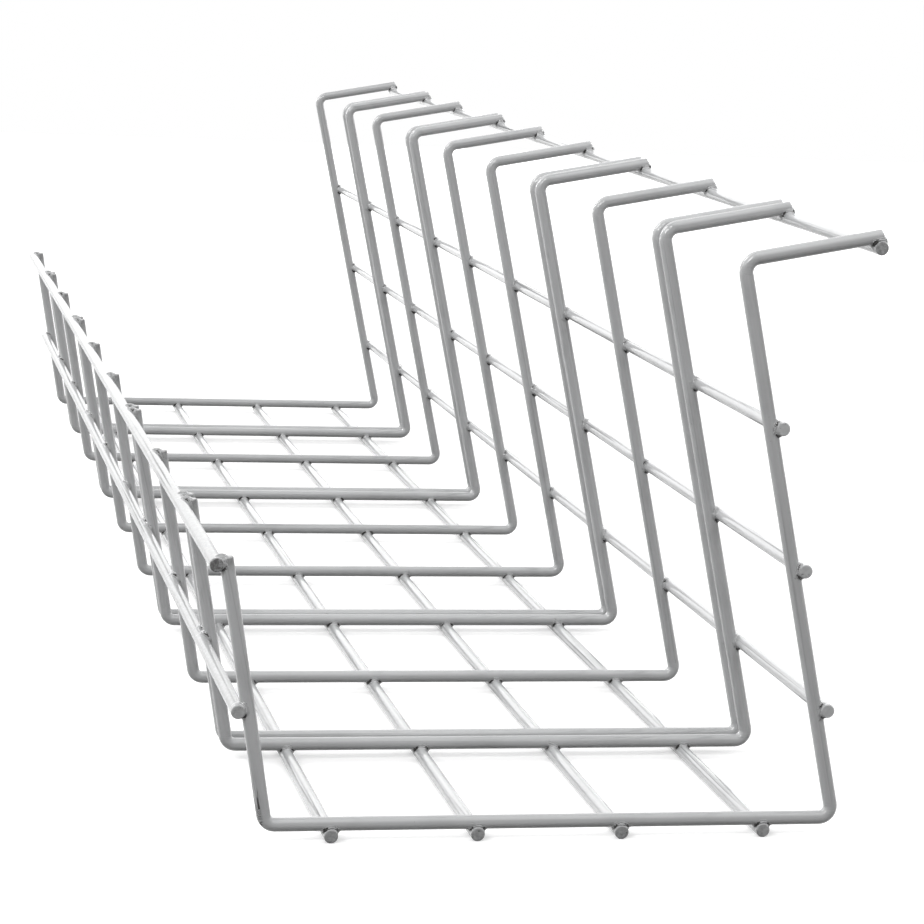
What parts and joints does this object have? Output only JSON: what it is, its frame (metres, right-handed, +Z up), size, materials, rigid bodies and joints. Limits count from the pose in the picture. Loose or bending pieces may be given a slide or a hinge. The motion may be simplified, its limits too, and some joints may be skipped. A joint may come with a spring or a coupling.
{
  "type": "wire mesh cable basket",
  "caption": "Welded wire cable basket with a J-shaped section: a wide bottom, a tall leaning wall with an outward flange, and a short lip.",
  "frame": {"origin": "centre of the bounding box in plan, on the level that the bottom wires rest on", "axes": "+Y along the basket towards its far end, +X across the section from the short lip to the tall wall, +Z up"},
  "size_m": [0.2243, 0.906, 0.2095],
  "materials": {
    "silver_coat": "satin silver-grey coat on steel wire"
  },
  "bodies": {
    "root": {"cross_wire_01": "silver_coat", "cross_wire_02a": "silver_coat", "cross_wire_02b": "silver_coat", "cross_wire_03": "silver_coat", "cross_wire_04a": "silver_coat", "cross_wire_04b": "silver_coat", "cross_wire_05": "silver_coat", "cross_wire_06": "silver_coat", "cross_wire_07a": "silver_coat", "cross_wire_07b": "silver_coat", "cross_wire_08": "silver_coat", "cross_wire_09a": "silver_coat", "cross_wire_09b": "silver_coat", "cross_wire_10": "silver_coat", "bottom_wire_1": "silver_coat", "bottom_wire_2": "silver_coat", "bottom_wire_3": "silver_coat", "bottom_wire_4": "silver_coat", "wall_wire_1": "silver_coat", "wall_wire_2": "silver_coat", "wall_wire_3": "silver_coat", "lip_wire_1": "silver_coat", "lip_wire_2": "silver_coat", "flange_wire": "silver_coat"}
  },
  "joints": []
}
